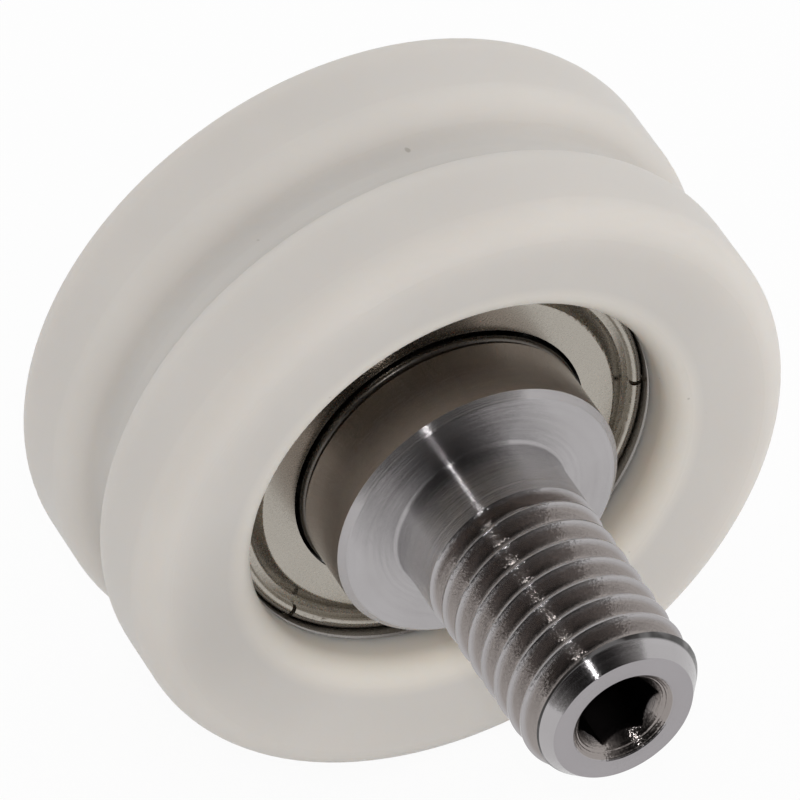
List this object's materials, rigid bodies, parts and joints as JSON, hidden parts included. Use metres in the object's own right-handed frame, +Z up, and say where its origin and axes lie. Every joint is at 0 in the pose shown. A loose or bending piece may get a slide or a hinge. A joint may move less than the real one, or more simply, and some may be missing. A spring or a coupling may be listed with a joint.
{
  "type": "sliding door roller",
  "caption": "Grooved nylon door roller on a shielded ball bearing, with a fixed collared axle whose threaded end has a hexagon socket.",
  "frame": {"origin": "on the axle's axis, in the plane of the collar's front face, where the door hanger seats", "axes": "the axle lies along Y with its threaded tip towards -Y and the wheel on the +Y side; +Z is up"},
  "size_m": [0.038, 0.0337, 0.038],
  "materials": {
    "nylon": "natural ivory nylon, moulded, satin",
    "axle_steel": "turned bare steel",
    "bearing_steel": "ground steel",
    "shield_steel": "pressed sheet steel, satin",
    "cage_steel": "pressed sheet steel",
    "ball_steel": "polished",
    "spring_steel": "phosphated spring steel"
  },
  "bodies": {
    "axle_body": {"axle": "axle_steel", "inner_ring": "bearing_steel", "retaining_ring": "spring_steel"},
    "wheel_body": {"wheel": "nylon", "outer_ring": "bearing_steel", "shield_front": "shield_steel", "shield_rear": "shield_steel"},
    "cage_body": {"cage_front": "cage_steel", "cage_rear": "cage_steel", "cage_rivets": "cage_steel"},
    "ball_body_1": {"ball_1": "ball_steel"},
    "ball_body_2": {"ball_2": "ball_steel"},
    "ball_body_3": {"ball_3": "ball_steel"},
    "ball_body_4": {"ball_4": "ball_steel"},
    "ball_body_5": {"ball_5": "ball_steel"},
    "ball_body_6": {"ball_6": "ball_steel"},
    "ball_body_7": {"ball_7": "ball_steel"},
    "ball_body_8": {"ball_8": "ball_steel"}
  },
  "joints": [
    {"name": "wheel_spin", "type": "hinge", "parent": "axle_body", "child": "wheel_body", "pos_m": [0, 0.0084, 0], "axis": [0, 1, 0], "continuous": true},
    {"name": "cage_orbit", "type": "hinge", "parent": "axle_body", "child": "cage_body", "pos_m": [0, 0.0084, 0], "axis": [0, 1, 0], "continuous": true},
    {"name": "ball_spin_1", "type": "hinge", "parent": "cage_body", "child": "ball_body_1", "pos_m": [0, 0.0084, 0.01], "axis": [0, 1, 0], "continuous": true},
    {"name": "ball_spin_2", "type": "hinge", "parent": "cage_body", "child": "ball_body_2", "pos_m": [-0.00707, 0.0084, 0.00707], "axis": [0, 1, 0], "continuous": true},
    {"name": "ball_spin_3", "type": "hinge", "parent": "cage_body", "child": "ball_body_3", "pos_m": [-0.01, 0.0084, 0], "axis": [0, 1, 0], "continuous": true},
    {"name": "ball_spin_4", "type": "hinge", "parent": "cage_body", "child": "ball_body_4", "pos_m": [-0.00707, 0.0084, -0.00707], "axis": [0, 1, 0], "continuous": true},
    {"name": "ball_spin_5", "type": "hinge", "parent": "cage_body", "child": "ball_body_5", "pos_m": [0, 0.0084, -0.01], "axis": [0, 1, 0], "continuous": true},
    {"name": "ball_spin_6", "type": "hinge", "parent": "cage_body", "child": "ball_body_6", "pos_m": [0.00707, 0.0084, -0.00707], "axis": [0, 1, 0], "continuous": true},
    {"name": "ball_spin_7", "type": "hinge", "parent": "cage_body", "child": "ball_body_7", "pos_m": [0.01, 0.0084, 0], "axis": [0, 1, 0], "continuous": true},
    {"name": "ball_spin_8", "type": "hinge", "parent": "cage_body", "child": "ball_body_8", "pos_m": [0.00707, 0.0084, 0.00707], "axis": [0, 1, 0], "continuous": true}
  ],
  "couplings": [
    {"joint": "cage_orbit", "follows": "wheel_spin", "ratio": 0.61905},
    {"joint": "ball_spin_1", "follows": "wheel_spin", "ratio": 1.9809},
    {"joint": "ball_spin_2", "follows": "wheel_spin", "ratio": 1.9809},
    {"joint": "ball_spin_3", "follows": "wheel_spin", "ratio": 1.9809},
    {"joint": "ball_spin_4", "follows": "wheel_spin", "ratio": 1.9809},
    {"joint": "ball_spin_5", "follows": "wheel_spin", "ratio": 1.9809},
    {"joint": "ball_spin_6", "follows": "wheel_spin", "ratio": 1.9809},
    {"joint": "ball_spin_7", "follows": "wheel_spin", "ratio": 1.9809},
    {"joint": "ball_spin_8", "follows": "wheel_spin", "ratio": 1.9809}
  ]
}
